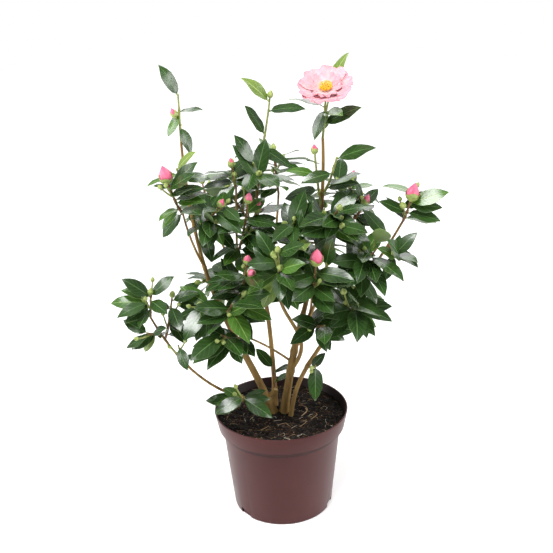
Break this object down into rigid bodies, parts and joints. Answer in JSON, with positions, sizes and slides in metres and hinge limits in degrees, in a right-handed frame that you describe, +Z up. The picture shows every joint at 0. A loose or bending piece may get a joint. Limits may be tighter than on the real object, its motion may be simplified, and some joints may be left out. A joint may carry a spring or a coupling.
{
  "type": "potted camellia shrub",
  "caption": "Young camellia shrub in a round nursery pot: slender forking stems, glossy pointed leaves, pink buds and one open flower",
  "frame": {"origin": "centre of the pot's flat underside", "axes": "+Z up, -Y towards the front, +X to the right seen from the front"},
  "size_m": [0.5254, 0.3662, 0.7616],
  "materials": {
    "pot": "mauve-brown moulded polypropylene with a soft sheen",
    "soil": "dark fibrous bark and peat compost",
    "bark": "smooth tan bark, paler on the old wood, olive on the thin twigs",
    "foliage": "glossy dark green leaves, lime young leaves, green and pink buds, one pale pink flower"
  },
  "bodies": {
    "root": {"pot": "pot", "soil": "soil", "stem_back": "bark", "stem_centre": "bark", "stem_left": "bark", "stem_right": "bark", "bough_back_left": "bark", "bough_back_mid": "bark", "bough_back_right": "bark", "bough_flower": "bark", "bough_front_right": "bark", "bough_inner_left": "bark", "bough_left_outer": "bark", "bough_left_tall": "bark", "bough_low": "bark", "bough_mid_left": "bark", "bough_right_out": "bark", "bough_right_up": "bark", "bough_thin_left": "bark", "bough_twist": "bark", "foliage_back_left_low": "foliage", "foliage_back_left_top": "foliage", "foliage_back_mid_low": "foliage", "foliage_back_mid_top": "foliage", "foliage_back_right_low": "foliage", "foliage_back_right_top": "foliage", "foliage_branch_lower": "foliage", "foliage_branch_middle": "foliage", "foliage_branch_tip": "foliage", "foliage_branch_upper": "foliage", "foliage_centre_bud": "foliage", "foliage_centre_front": "foliage", "foliage_centre_left": "foliage", "foliage_centre_right": "foliage", "foliage_centre_upper": "foliage", "foliage_flower": "foliage", "foliage_flower_front": "foliage", "foliage_flower_left": "foliage", "foliage_flower_right": "foliage", "foliage_inner_back_left": "foliage", "foliage_inner_back_right": "foliage", "foliage_inner_top": "foliage", "foliage_left_front": "foliage", "foliage_left_inner": "foliage", "foliage_left_low": "foliage", "foliage_left_outer": "foliage", "foliage_left_side": "foliage", "foliage_left_top": "foliage", "foliage_left_upper": "foliage", "foliage_low_left": "foliage", "foliage_low_right": "foliage", "foliage_mid_top": "foliage", "foliage_mid_upper": "foliage", "foliage_pink_pair": "foliage", "foliage_right_low": "foliage", "foliage_right_lower": "foliage", "foliage_right_mid": "foliage", "foliage_right_outer": "foliage", "foliage_right_top": "foliage", "foliage_rim": "foliage"}
  },
  "joints": []
}
